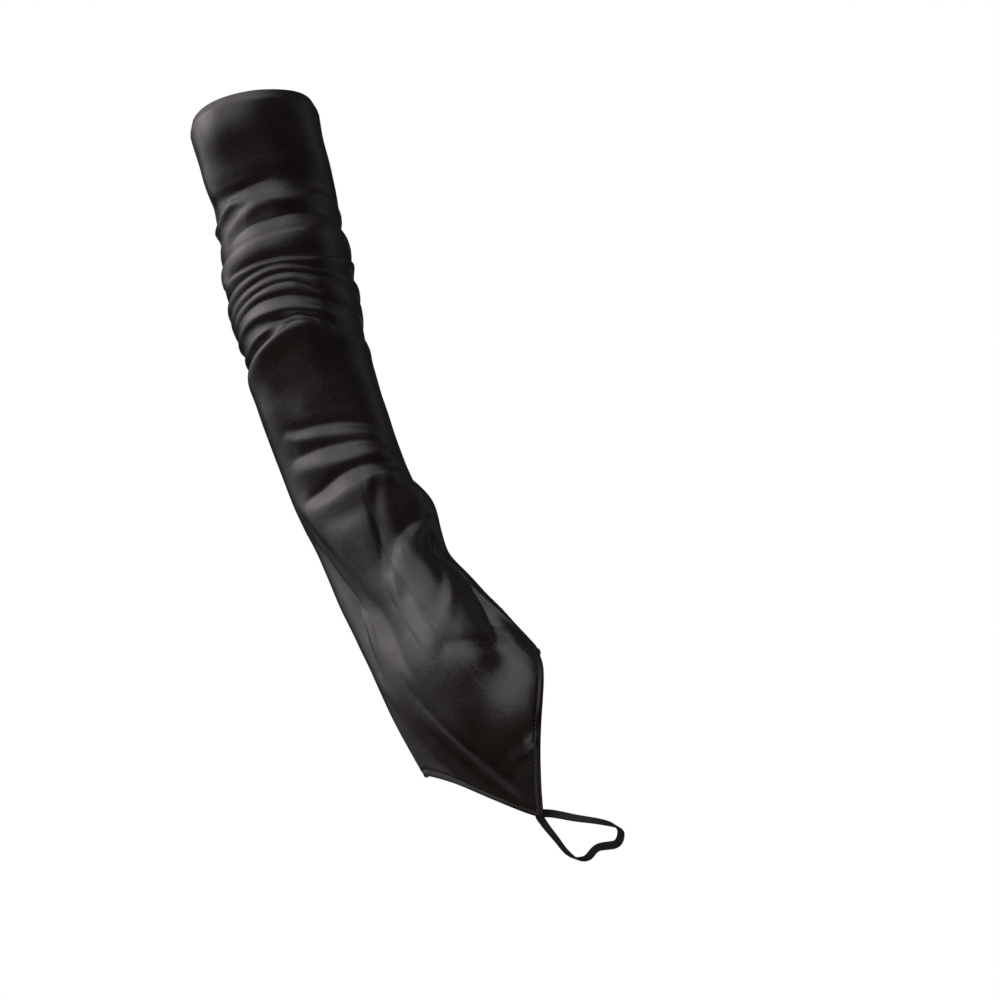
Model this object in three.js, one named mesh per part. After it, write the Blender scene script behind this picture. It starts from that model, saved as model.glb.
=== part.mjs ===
// Long fingerless evening mitten of black satin, in the form that it takes on an arm.
// A sleeve of thin cloth runs from the upper arm to a point over the back of the hand.
// A turned hem closes it at the top, a narrow one runs round the hand opening, and a loop
// of tape under the point goes round the middle finger.
//
// Millimetres. The origin is the middle of the arm opening and +Z runs up the arm. The back
// of the hand faces -Y and the thumb is at +X. The sleeve hangs down from the origin.
// An angle goes round the sleeve in degrees: 0 is the thumb's side, 90 the back of the hand,
// 180 the little finger's side and 270 the palm. A place goes along it, from 0 at the arm
// opening to 1 at the hand opening.
import * as THREE from "three";

// Driving dimensions
const SLEEVE_LENGTH = 388; // along the little finger's side, from rim to rim
const POINT_LENGTH = 60.5; // how far the point reaches past the sides
const UPPER_ARM_WIDTH = 72;
const WRIST_WIDTH = 60;
const HAND_WIDTH = 82;
const CLOTH = 1.2; // the sleeve's wall
const UPPER_HEM_DEPTH = 6;
const HAND_HEM_DEPTH = 4;
const HEM_PROUD = 0.4; // a hem's turned edge stands this far out of the sleeve
const HEM_THICKNESS = 2; // two layers of cloth
const SEAM_GAP = 0.3; // between pieces that are sewn together
const FOLD_DEPTH = 3; // unit of the folds' heights
const FOLD_WIDTH = 10; // unit of the folds' widths
const RIM_DIP = 7; // the arm opening's front hangs lower than its sides
const PALM_RISE = 8; // the hand opening is higher over the palm
const TAPE_WIDTH = 3;
const TAPE_THICKNESS = 1;
const FINGER_WIDTH = 19; // between the two legs of the loop
const FINGER_DEPTH = 15; // from the back of the finger to its front
const THUMB_LEG = 30; // from the point to where the tape goes down between the fingers
const LITTLE_LEG = 20;
const LOOP_TURN = 15; // degrees that the finger points away from the hand towards the thumb

// Where the point lies across the hand, as a share of half its width from the middle
const POINT_SIDE_SHARE = -0.56;
const POINT_FROM_PLACE = 0.7; // the rows of cloth start to bend towards the point here
const POINT_BEND = 1.5;
const POINT_ROUND = 0.8; // the little finger's side of the point swells a little

// Cross-sections along the sleeve, from the arm opening to the hand opening.
// place: share of the cloth's length. down, shift and lift: the middle of the section, as
// shares of SLEEVE_LENGTH. tilt: degrees, the thumb's side up. breadth: the width that the
// section follows, and wide its share of that width. front and back: shares of the
// section's own width, from its middle to the back of the hand and to the palm.
// Columns: place, down, shift, lift, tilt, breadth, wide, front, back.
const SECTIONS = [
  [0, 0, 0, 0, -18, UPPER_ARM_WIDTH, 1, 0.5, 0.5],
  [0.05, 0.0507, -0.008, 0.0009, -15, UPPER_ARM_WIDTH, 0.98, 0.51, 0.51],
  [0.13, 0.1263, -0.0161, -0.0045, -10, UPPER_ARM_WIDTH, 0.972, 0.51, 0.51],
  [0.21, 0.1975, -0.0253, -0.0158, -6, UPPER_ARM_WIDTH, 0.961, 0.51, 0.51],
  [0.3, 0.2958, -0.0371, -0.0056, -3, UPPER_ARM_WIDTH, 1.022, 0.475, 0.48],
  [0.39, 0.3952, -0.0439, 0.007, -1, UPPER_ARM_WIDTH, 0.948, 0.49, 0.49],
  [0.5, 0.5087, -0.049, 0.0126, 0, WRIST_WIDTH, 1.055, 0.49, 0.47],
  [0.62, 0.6324, -0.0483, 0.0204, 1, WRIST_WIDTH, 1.005, 0.46, 0.45],
  [0.7, 0.7223, -0.0412, 0.0386, 4, WRIST_WIDTH, 0.993, 0.43, 0.41],
  [0.78, 0.813, -0.0342, 0.0602, 10, WRIST_WIDTH, 0.99, 0.38, 0.38],
  [0.86, 0.9086, -0.0171, 0.0934, 18, HAND_WIDTH, 0.797, 0.3, 0.31],
  [0.93, 0.9862, -0.0024, 0.1175, 24, HAND_WIDTH, 0.882, 0.25, 0.265],
  [1, 1.0614, 0.0135, 0.1367, 29, HAND_WIDTH, 0.952, 0.232, 0.232],
];

// The main folds. A crease is a sharp valley, a roll a rounded ridge, and a roll with a
// negative height a soft dent. A fold that runs round is a list of [angle, place], and one
// that runs down is a list of [place, angle].
// above and below: how far the fold spreads to either side, as shares of FOLD_WIDTH; above
// is towards the arm opening or the little finger. height: a share of FOLD_DEPTH.
// Columns: runs, form, above, below, height, path.
const FOLDS = [
  // soft bands of the upper arm
  ["round", "roll", 1.3, 0.23, 0.54, [[175, 0.13], [150, 0.148], [120, 0.159], [95, 0.158]]],
  [
    "round", "roll", 1.26, 1.3, -0.9,
    [[200, 0.144], [150, 0.164], [120, 0.169], [90, 0.171], [30, 0.166], [-30, 0.163]],
  ],
  [
    "round", "roll", 0.41, 0.38, 0.41,
    [[118, 0.219], [90, 0.211], [60, 0.214], [30, 0.195], [-20, 0.206]],
  ],
  ["round", "roll", 0.26, 0.2, 0.62, [[185, 0.185], [150, 0.195], [130, 0.189], [116, 0.196]]],
  ["round", "roll", 0.35, 0.33, 0.3, [[195, 0.242], [160, 0.222], [130, 0.221], [116, 0.207]]],
  ["round", "crease", 0.42, 0.44, 0.49, [[205, 0.206], [165, 0.215], [130, 0.21], [114, 0.205]]],
  [
    "round", "crease", 1.01, 1.3, 1.15,
    [[215, 0.276], [165, 0.25], [120, 0.239], [90, 0.241], [60, 0.235], [30, 0.232], [-35, 0.236]],
  ],
  [
    "round", "roll", 0.64, 1.3, 0.85,
    [[170, 0.27], [120, 0.276], [90, 0.277], [60, 0.273], [30, 0.249], [-10, 0.256]],
  ],
  // gathers at the elbow
  [
    "round", "crease", 0.17, 0.31, 0.7,
    [[215, 0.268], [165, 0.292], [130, 0.297], [90, 0.307],
     [60, 0.315], [40, 0.312], [0, 0.302], [-35, 0.299]],
  ],
  [
    "round", "roll", 0.24, 0.54, 0.85,
    [[160, 0.293], [130, 0.303], [90, 0.312], [60, 0.317], [30, 0.312], [-10, 0.299]],
  ],
  [
    "round", "crease", 1.11, 0.15, 1.15,
    [[205, 0.316], [160, 0.313], [110, 0.316], [90, 0.319], [70, 0.326], [50, 0.331], [-15, 0.321]],
  ],
  [
    "round", "crease", 0.17, 0.15, 0.5,
    [[215, 0.328], [165, 0.332], [120, 0.332], [100, 0.332],
     [80, 0.337], [60, 0.345], [40, 0.349], [-15, 0.359]],
  ],
  [
    "round", "crease", 0.15, 0.15, 0.38,
    [[175, 0.348], [130, 0.346], [100, 0.347], [80, 0.353], [62, 0.37]],
  ],
  [
    "round", "crease", 0.17, 0.97, 0.54,
    [[210, 0.365], [165, 0.361], [120, 0.359], [100, 0.365],
     [80, 0.372], [60, 0.383], [40, 0.39], [-20, 0.394]],
  ],
  [
    "round", "roll", 0.43, 0.32, 0.75,
    [[190, 0.376], [160, 0.378], [130, 0.378], [90, 0.392], [50, 0.412]],
  ],
  [
    "round", "crease", 0.88, 0.81, 0.85,
    [[215, 0.38], [150, 0.383], [120, 0.387], [100, 0.399],
     [80, 0.403], [60, 0.432], [40, 0.438], [-20, 0.435]],
  ],
  ["round", "roll", 0.2, 0.23, 0.32, [[185, 0.401], [150, 0.404], [115, 0.404]]],
  ["round", "crease", 0.46, 0.15, 1.15, [[190, 0.415], [150, 0.418], [125, 0.418], [104, 0.415]]],
  [
    "round", "roll", 0.4, 0.7, 0.77,
    [[165, 0.451], [130, 0.428], [110, 0.421], [90, 0.419], [70, 0.424], [50, 0.44], [-10, 0.436]],
  ],
  // folds above the wrist
  ["round", "roll", 0.26, 0.27, -0.27, [[155, 0.541], [120, 0.555], [80, 0.566], [60, 0.573]]],
  ["round", "roll", 0.46, 0.59, 0.85, [[155, 0.552], [130, 0.572], [90, 0.585], [55, 0.595]]],
  ["round", "crease", 0.65, 0.2, 0.42, [[155, 0.585], [120, 0.592], [90, 0.599], [60, 0.609]]],
  ["round", "roll", 0.66, 0.64, 0.76, [[160, 0.605], [120, 0.616], [80, 0.632], [50, 0.622]]],
  ["round", "crease", 0.28, 0.43, 0.73, [[150, 0.646], [120, 0.646], [80, 0.644], [40, 0.644]]],
  ["round", "roll", 0.27, 0.79, 0.46, [[160, 0.658], [120, 0.67], [80, 0.669], [50, 0.657]]],
  // long folds over the wrist
  ["down", "roll", 0.56, 1.3, 0.55, [[0.65, 155], [0.69, 149], [0.73, 137], [0.8, 113]]],
  ["round", "roll", 0.67, 0.25, -0.5, [[130, 0.695], [105, 0.702], [82, 0.705]]],
  ["down", "crease", 0.27, 0.22, 0.14, [[0.65, 76], [0.7, 83], [0.74, 84], [0.785, 104]]],
  [
    "down", "roll", 0.43, 0.43, -0.41,
    [[0.665, 63], [0.72, 80], [0.76, 88], [0.785, 86], [0.84, 102]],
  ],
  ["down", "roll", 0.78, 0.51, -0.19, [[0.67, 59], [0.71, 66], [0.745, 77], [0.78, 87]]],
  [
    "round", "crease", 0.63, 0.84, 1.15,
    [[88, 0.781], [75, 0.762], [55, 0.75], [35, 0.735], [15, 0.715], [-30, 0.691]],
  ],
  [
    "round", "roll", 0.21, 0.78, 0.85,
    [[105, 0.82], [88, 0.788], [70, 0.767], [50, 0.755], [30, 0.745], [5, 0.727], [-25, 0.707]],
  ],
  ["round", "roll", 1.3, 0.84, 0.35, [[40, 0.708], [20, 0.694], [0, 0.687], [-40, 0.684]]],
  ["round", "crease", 0.37, 0.22, 0.29, [[42, 0.67], [20, 0.669], [0, 0.66], [-35, 0.655]]],
  ["round", "crease", 0.62, 1.3, 1.15, [[35, 0.77], [15, 0.757], [0, 0.741], [-25, 0.735]]],
  [
    "round", "crease", 1.3, 0.77, 0.88,
    [[82, 0.844], [66, 0.839], [50, 0.817], [35, 0.793], [12, 0.758]],
  ],
  [
    "round", "roll", 0.2, 0.26, 0.31,
    [[82, 0.865], [60, 0.844], [45, 0.826], [28, 0.8], [10, 0.777]],
  ],
  // the U-shaped fold beside the thumb
  ["down", "roll", 1.3, 1.3, -0.9, [[0.78, 22], [0.83, 39], [0.885, 37], [0.925, 45]]],
  [
    "round", "crease", 0.33, 0.72, 1.12,
    [[92, 0.88], [77, 0.903], [63, 0.925], [50, 0.92], [37, 0.912], [28, 0.892], [20, 0.855]],
  ],
  [
    "round", "roll", 0.47, 0.48, 0.18,
    [[95, 0.872], [77, 0.909], [63, 0.93], [50, 0.92], [37, 0.931], [27, 0.898], [20, 0.855]],
  ],
  // the fold along the little finger's side
  [
    "down", "crease", 1.04, 0.39, 0.66,
    [[0.69, 172], [0.745, 163], [0.785, 154], [0.82, 157], [0.87, 160]],
  ],
  [
    "down", "roll", 0.24, 1.3, -0.35,
    [[0.69, 159], [0.745, 164], [0.785, 154], [0.82, 142], [0.87, 158]],
  ],
  // towards the point
  ["round", "roll", 1.01, 0.63, 0.85, [[90, 0.908], [65, 0.926], [50, 0.948]]],
  ["round", "roll", 1.3, 1.04, -0.9, [[105, 0.933], [85, 0.943], [65, 0.945], [50, 0.956]]],
  ["down", "roll", 0.49, 0.47, 0.33, [[0.89, 156], [0.93, 153], [0.99, 146]]],
  ["down", "roll", 0.48, 0.25, 0.39, [[0.89, 132], [0.93, 131], [0.99, 126]]],
  ["down", "crease", 0.39, 1.15, 0.99, [[0.88, 132], [0.925, 127], [0.98, 119]]],
];

// Soft swells and hollows of the cloth over the back of the arm and the hand.
// Columns: place, then the height at each of SWELL_ANGLES, as a share of FOLD_DEPTH.
const SWELLS = [
  [0.06, -1.47, -0.55, 3.57, 3.94],
  [0.13, -2.5, -2.73, -1.96, 1.64],
  [0.5, -1.1, -0.8, -1.76, 0.52],
  [0.58, -1.21, -1.66, -1.65, -2.29],
  [0.66, 0.7, -0.44, -1.39, -2],
  [0.74, -0.81, 0.09, -0.93, -1.8],
  [0.8, 1.3, 0.17, -1.15, -1.8],
  [0.86, 1.63, 1.53, 1.39, 0.98],
  [0.92, -0.31, 2.14, 2.51, -0.92],
  [0.98, 3.4, 3.39, 0.52, -2.41],
];
const SWELL_ANGLES = [55, 90, 125, 160];
const SWELL_WIDE = 26; // degrees round the sleeve over which a swell dies away
const SWELL_LONG = 0.055; // the same along it, as a share of the length

// Gathers that go on behind the elbow, and creases inside the wrist, both at even distances.
const BACK_FOLDS = [
  { count: 7, from: 0.245, step: 0.0275, wave: 0.008, above: 0.5, below: 0.22, height: 0.75 },
  { count: 4, from: 0.6, step: 0.042, wave: 0.006, above: 0.6, below: 0.25, height: 0.5 },
];
const BACK_END_ANGLES = [196, 344]; // the angles between which they run
const FADE_ANGLE = 16; // a fold that runs round dies away over this angle at each end
const FADE_PLACE = 0.035; // one that runs down dies away over this share of the length
const CREASE_ROUND = 0.4; // millimetres: no crease is sharper

// Rows of faces along the sleeve: from one place to the next, and how many.
const ROWS = [
  [0, 0.15, 5],
  [0.15, 0.24, 7],
  [0.24, 0.45, 27],
  [0.45, 0.55, 3],
  [0.55, 0.69, 11],
  [0.69, 0.94, 11],
  [0.94, 1, 3],
];
// Columns of faces round it: thumb to point, point to little finger, and over the palm.
const COLUMNS = [13, 6, 17];

const radians = THREE.MathUtils.degToRad;
const { smoothstep } = THREE.MathUtils;

// A smooth curve through rows of [x, y] that are sorted by x, level beyond its ends.
function through(rows, x) {
  const last = rows.length - 1;
  if (x <= rows[0][0]) return rows[0][1];
  if (x >= rows[last][0]) return rows[last][1];
  let i = 0;
  while (x > rows[i + 1][0]) i += 1;
  const slope = (k) => {
    const before = rows[Math.max(k - 1, 0)];
    const after = rows[Math.min(k + 1, last)];
    return (after[1] - before[1]) / (after[0] - before[0]);
  };
  const width = rows[i + 1][0] - rows[i][0];
  const s = (x - rows[i][0]) / width;
  const s2 = s * s;
  const s3 = s2 * s;
  return (
    (2 * s3 - 3 * s2 + 1) * rows[i][1] +
    (s3 - 2 * s2 + s) * width * slope(i) +
    (3 * s2 - 2 * s3) * rows[i + 1][1] +
    (s3 - s2) * width * slope(i + 1)
  );
}

// One curve for each size of the sections.
function sectionCurves() {
  const curves = { down: [], shift: [], lift: [], tilt: [], half: [], front: [], back: [] };
  for (const [place, down, shift, lift, tilt, breadth, wide, front, back] of SECTIONS) {
    const width = breadth * wide;
    curves.down.push([place, down * SLEEVE_LENGTH]);
    curves.shift.push([place, shift * SLEEVE_LENGTH]);
    curves.lift.push([place, lift * SLEEVE_LENGTH]);
    curves.tilt.push([place, radians(tilt)]);
    curves.half.push([place, width / 2]);
    curves.front.push([place, width * front]);
    curves.back.push([place, width * back]);
  }
  return curves;
}
const CURVES = sectionCurves();

// How far a row at the hand opening reaches towards the point, or rises over the palm.
function openingEdge(angle) {
  const across = Math.cos(angle);
  const up = Math.sin(angle);
  if (up < 0) return -PALM_RISE * up * up;
  if (across > POINT_SIDE_SHARE) return (POINT_LENGTH * (1 - across)) / (1 - POINT_SIDE_SHARE);
  return POINT_LENGTH * ((1 + across) / (1 + POINT_SIDE_SHARE)) ** POINT_ROUND;
}

// A point of the smooth sleeve without folds, moved out of it by `out`.
function skin(angle, place, out = 0) {
  const at = (name) => through(CURVES[name], place);
  const tilt = at("tilt");
  const across = Math.cos(angle);
  const up = Math.sin(angle);
  const sideways = at("half") * across + out * across;
  const depth = (up > 0 ? at("front") : at("back")) * up + out * up;
  const bend = Math.max(0, (place - POINT_FROM_PLACE) / (1 - POINT_FROM_PLACE)) ** POINT_BEND;
  const dip = RIM_DIP * up * (1 - smoothstep(place, 0, 0.2));
  const along = openingEdge(angle) * bend + dip;
  return new THREE.Vector3(
    at("shift") + Math.cos(tilt) * sideways + Math.sin(tilt) * along,
    -at("lift") - depth,
    -at("down") + Math.sin(tilt) * sideways - Math.cos(tilt) * along,
  );
}

// The folds behind the arm, worked out in the form of the table above.
function backFolds() {
  const [first, last] = BACK_END_ANGLES;
  const knots = 5;
  return BACK_FOLDS.flatMap(({ count, from, step, wave, above, below, height }) =>
    Array.from({ length: count }, (_, k) => {
      const path = Array.from({ length: knots }, (_, n) => [
        first + ((last - first) * n) / (knots - 1),
        from + step * k + wave * Math.sin(2.1 * k + 1.7 * n),
      ]);
      return ["round", "crease", above, below, height, path];
    }),
  );
}

const FOLDED = [...FOLDS, ...backFolds()].map(([runs, form, above, below, height, path]) => {
  const sorted = [...path].sort((a, b) => a[0] - b[0]);
  return {
    runs,
    form,
    above: above * FOLD_WIDTH,
    below: below * FOLD_WIDTH,
    height: height * FOLD_DEPTH,
    path: sorted,
    first: sorted[0][0],
    last: sorted[sorted.length - 1][0],
  };
});

// 1 along a fold's length, dying away over `fade` at both ends.
function strength(fold, x, fade) {
  return smoothstep(x, fold.first, fold.first + fade) * (1 - smoothstep(x, fold.last - fade, fold.last));
}

// The height of a fold at a distance from its line, of which above is the negative side.
function profile(fold, distance) {
  const spread = distance < 0 ? fold.above : fold.below;
  if (fold.form === "roll") return fold.height * Math.exp(-((distance / spread) ** 2));
  const near = Math.hypot(distance, CREASE_ROUND) - CREASE_ROUND;
  return -fold.height * Math.exp(-near / spread);
}

// Millimetres round the sleeve for each degree, for the slant of a fold.
const ARC_OF_DEGREE = radians(WRIST_WIDTH / 2);

function roundFold(fold, degrees, place) {
  const x = degrees > fold.last ? degrees - 360 : degrees;
  const part = strength(fold, x, FADE_ANGLE);
  if (part === 0) return 0;
  const rise = (through(fold.path, x + 1) - through(fold.path, x - 1)) / 2;
  const slant = Math.hypot(1, (rise * SLEEVE_LENGTH) / ARC_OF_DEGREE);
  const distance = ((place - through(fold.path, x)) * SLEEVE_LENGTH) / slant;
  return part * profile(fold, distance);
}

function downFold(fold, degrees, place) {
  const part = strength(fold, place, FADE_PLACE);
  if (part === 0) return 0;
  const distance = radians(through(fold.path, place) - degrees) * through(CURVES.half, place);
  return part * profile(fold, distance);
}

// How far the swells lift the cloth. They die away towards its two sides.
function swell(degrees, place) {
  const front = Math.max(0, Math.sin(radians(degrees)));
  let height = 0;
  for (const [at, ...shares] of SWELLS) {
    const near = Math.exp(-(((place - at) / SWELL_LONG) ** 2)) * front * FOLD_DEPTH;
    SWELL_ANGLES.forEach((middle, k) => {
      height += shares[k] * near * Math.exp(-(((degrees - middle) / SWELL_WIDE) ** 2));
    });
  }
  return height;
}

// How far the swells and all the folds together lift the cloth.
function relief(angle, place) {
  const degrees = THREE.MathUtils.radToDeg(angle);
  let height = swell(degrees, place);
  for (const fold of FOLDED)
    height += (fold.runs === "round" ? roundFold : downFold)(fold, degrees, place);
  return height;
}

// A point of the folded cloth, moved out of it by `out`.
function cloth(angle, place, out = 0) {
  return skin(angle, place, relief(angle, place) + out);
}

// The angles of the columns of faces. One column runs along the point.
function columnAngles() {
  const point = Math.acos(POINT_SIDE_SHARE);
  const stops = [0, point, Math.PI, 2 * Math.PI];
  return COLUMNS.flatMap((count, k) =>
    Array.from({ length: count }, (_, n) => stops[k] + ((stops[k + 1] - stops[k]) * n) / count),
  );
}
const ANGLES = columnAngles();
const ROW_PLACES = ROWS.flatMap(([from, to, count]) =>
  Array.from({ length: count }, (_, n) => from + ((to - from) * n) / count),
).concat(1);

// The share of the length that a band of this width takes at an edge of the cloth. Both
// sides of an angle are asked, so that the band is mitred at the point.
function bandShare(angle, edge, width) {
  const small = 0.01;
  const rim = skin(angle, edge);
  const inside = skin(angle, edge === 0 ? small : 1 - small);
  const run = inside.sub(rim).divideScalar(small);
  const beside = [-small, small].map((turn) => {
    const rimwise = skin(angle + turn, edge).sub(rim).normalize();
    return width / run.clone().addScaledVector(rimwise, -run.dot(rimwise)).length();
  });
  return (beside[0] + beside[1]) / 2;
}

// A closed body from two grids of points with rows down and columns round: the outside and
// the inside of a wall, with faces between them at the first and the last row.
function closedWall(outside, inside) {
  const rows = outside.length;
  const round = outside[0].length;
  const points = [...outside.flat(), ...inside.flat()];
  const index = [];
  const face = (a, b, c, d) => {
    if (points[a].distanceTo(points[c]) < points[b].distanceTo(points[d])) index.push(a, b, c, a, c, d);
    else index.push(b, c, d, b, d, a);
  };
  const out = (i, j) => i * round + (j % round);
  const inn = (i, j) => rows * round + out(i, j);
  for (let j = 0; j < round; j += 1) {
    for (let i = 0; i < rows - 1; i += 1) {
      face(out(i, j), out(i, j + 1), out(i + 1, j + 1), out(i + 1, j));
      face(inn(i, j), inn(i + 1, j), inn(i + 1, j + 1), inn(i, j + 1));
    }
    face(out(0, j), inn(0, j), inn(0, j + 1), out(0, j + 1));
    face(out(rows - 1, j), out(rows - 1, j + 1), inn(rows - 1, j + 1), inn(rows - 1, j));
  }
  const geometry = new THREE.BufferGeometry().setFromPoints(points);
  geometry.setIndex(index);
  geometry.computeVertexNormals();
  return geometry;
}

// A band of cloth all round the sleeve. shares: its rows, each from 0 to 1 of the way from
// `from(angle)` to `to(angle)`. outer and inner: how far its faces stand out of the skin.
function band(shares, from, to, outer, inner) {
  const ends = ANGLES.map((angle) => [from(angle), to(angle)]);
  const layer = (out) =>
    shares.map((share) =>
      ANGLES.map((angle, j) => {
        const place = ends[j][0] + (ends[j][1] - ends[j][0]) * share;
        return cloth(angle, place, out);
      }),
    );
  return closedWall(layer(outer), layer(inner));
}

function sleeve() {
  return band(
    ROW_PLACES,
    (angle) => bandShare(angle, 0, UPPER_HEM_DEPTH + SEAM_GAP),
    (angle) => 1 - bandShare(angle, 1, HAND_HEM_DEPTH + SEAM_GAP),
    0,
    -CLOTH,
  );
}

// The rows of faces of a turned hem, as shares of its depth.
const HEM_ROWS = [0, 0.5, 1];

function upperHem() {
  return band(
    HEM_ROWS,
    () => 0,
    (angle) => bandShare(angle, 0, UPPER_HEM_DEPTH),
    HEM_PROUD,
    HEM_PROUD - HEM_THICKNESS,
  );
}

function handHem() {
  return band(
    HEM_ROWS,
    (angle) => 1 - bandShare(angle, 1, HAND_HEM_DEPTH),
    () => 1,
    HEM_PROUD,
    HEM_PROUD - HEM_THICKNESS,
  );
}

// The loop of tape, sewn inside the point. Its legs lie on the back of the hand, the longer
// one on the thumb's side, and it goes down between the fingers and round the middle one.
// Columns: across, as a share of half the finger's width; along, as a share of the leg; up,
// as a share of the finger's depth.
const LOOP_PATH = [
  [0, -0.08, 0],
  [0.22, 0.04, 0],
  [0.62, 0.5, 0.02],
  [0.95, 0.85, -0.05],
  [1.04, 1.0, -0.3],
  [0.86, 1.03, -0.75],
  [0.3, 0.99, -1],
  [-0.3, 1.1, -1],
  [-0.86, 1.07, -0.75],
  [-1.04, 1.0, -0.3],
  [-0.95, 0.85, -0.05],
  [-0.62, 0.5, 0.02],
  [-0.22, 0.04, 0],
];
const LOOP_STEPS = 52;

// The middle of the point's edge, with the ways across the hand, along it and out of it.
function pointFrame() {
  const angle = Math.acos(POINT_SIDE_SHARE);
  const tip = cloth(angle, 1, HEM_PROUD - HEM_THICKNESS - SEAM_GAP - TAPE_THICKNESS / 2);
  const along = cloth(angle, 1).sub(cloth(angle, 0.97)).normalize();
  const turn = radians(8);
  const side = cloth(angle - turn, 0.97).sub(cloth(angle + turn, 0.97)).normalize();
  const out = along.clone().cross(side).normalize();
  along.applyAxisAngle(out, radians(LOOP_TURN));
  return { tip, along, across: out.clone().cross(along), out };
}

function fingerLoop() {
  const { tip, along, across, out } = pointFrame();
  const place = (a, b, c) =>
    tip.clone().addScaledVector(across, a).addScaledVector(along, b).addScaledVector(out, c);
  const route = new THREE.CatmullRomCurve3(
    LOOP_PATH.map(([a, b, c]) =>
      place((a * FINGER_WIDTH) / 2, b * (a < 0 ? LITTLE_LEG : THUMB_LEG), c * FINGER_DEPTH),
    ),
    true,
    "centripetal",
  );
  const points = [];
  for (let i = 0; i < LOOP_STEPS; i += 1) {
    const at = route.getPointAt(i / LOOP_STEPS);
    const forward = route.getTangentAt(i / LOOP_STEPS);
    // the tape's flat side faces the middle of the finger
    const finger = place(0, 0, -FINGER_DEPTH / 2);
    const flat = at.clone().sub(finger);
    flat.addScaledVector(along, -flat.dot(along));
    flat.addScaledVector(forward, -flat.dot(forward)).normalize();
    const wide = forward.clone().cross(flat);
    for (const [w, t] of [[1, 1], [-1, 1], [-1, -1], [1, -1]]) {
      const corner = at.clone().addScaledVector(wide, (w * TAPE_WIDTH) / 2);
      points.push(corner.addScaledVector(flat, (t * TAPE_THICKNESS) / 2));
    }
  }
  const index = [];
  for (let i = 0; i < LOOP_STEPS; i += 1)
    for (let k = 0; k < 4; k += 1) {
      const next = (i + 1) % LOOP_STEPS;
      const a = 4 * i + k;
      const b = 4 * i + ((k + 1) % 4);
      const c = 4 * next + ((k + 1) % 4);
      const d = 4 * next + k;
      index.push(a, c, b, a, d, c);
    }
  const geometry = new THREE.BufferGeometry().setFromPoints(points);
  geometry.setIndex(index);
  geometry.computeVertexNormals();
  return geometry;
}

function piece(name, geometry, material) {
  const mesh = new THREE.Mesh(geometry, material);
  mesh.name = name;
  return mesh;
}

const satin = new THREE.MeshStandardMaterial({ color: 0x161412, roughness: 0.38, metalness: 0 });
const turnedSatin = new THREE.MeshStandardMaterial({ color: 0x1a1718, roughness: 0.45, metalness: 0 });
const tape = new THREE.MeshStandardMaterial({ color: 0x141212, roughness: 0.7, metalness: 0 });

const mitten = new THREE.Group();
mitten.add(piece("sleeve", sleeve(), satin));
mitten.add(piece("upper_hem", upperHem(), turnedSatin));
mitten.add(piece("hand_hem", handHem(), turnedSatin.clone()));
mitten.add(piece("finger_loop", fingerLoop(), tape));

export default mitten;
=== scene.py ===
"""Long fingerless evening mitten of black satin, in the form that it takes on an arm.

The cloth is one closed wall that runs from the rim at the upper arm to a point over the
back of the hand, with its edges turned in and stitched. A loop of tape is sewn under the
point. The tables are in millimetres and shares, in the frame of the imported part: the origin
is the middle of the arm opening, +Z runs up the arm, the back of the hand faces -Y and the
thumb is at +X. An angle goes round the sleeve in degrees from the thumb's side over the back
of the hand, and a place goes along it from 0 at the arm opening to 1 at the hand opening.
"""

import math

import bpy
import numpy as np
from mathutils import Matrix, Vector


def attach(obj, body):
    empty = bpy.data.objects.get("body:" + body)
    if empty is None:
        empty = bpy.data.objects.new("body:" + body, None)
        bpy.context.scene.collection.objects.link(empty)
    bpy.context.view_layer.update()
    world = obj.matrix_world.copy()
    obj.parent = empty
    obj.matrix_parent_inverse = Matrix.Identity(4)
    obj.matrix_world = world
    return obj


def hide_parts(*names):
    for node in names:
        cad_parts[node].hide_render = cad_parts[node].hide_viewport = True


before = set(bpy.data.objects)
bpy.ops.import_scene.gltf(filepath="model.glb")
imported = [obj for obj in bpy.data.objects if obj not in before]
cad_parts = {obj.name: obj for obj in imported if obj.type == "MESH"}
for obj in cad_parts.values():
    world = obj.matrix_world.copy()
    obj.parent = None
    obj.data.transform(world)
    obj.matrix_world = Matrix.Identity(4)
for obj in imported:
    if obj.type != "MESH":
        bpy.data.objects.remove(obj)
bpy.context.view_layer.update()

MM = 0.001

# Driving dimensions of the part
SLEEVE_LENGTH = 388
POINT_LENGTH = 60.5
UPPER_ARM_WIDTH = 72
WRIST_WIDTH = 60
HAND_WIDTH = 82
CLOTH = 1.2
HEM_PROUD = 0.4
HEM_THICKNESS = 2
SEAM_GAP = 0.3
FOLD_DEPTH = 3
FOLD_WIDTH = 10
RIM_DIP = 8.4
PALM_RISE = 8
TAPE_WIDTH = 3.6
TAPE_THICKNESS = 1
FINGER_WIDTH = 19
FINGER_DEPTH = 15
THUMB_LEG = 30
LITTLE_LEG = 20
LOOP_TURN = 15
POINT_SIDE_SHARE = -0.56
POINT_FROM_PLACE = 0.7
POINT_BEND = 1.5
POINT_ROUND = 0.8

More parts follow.
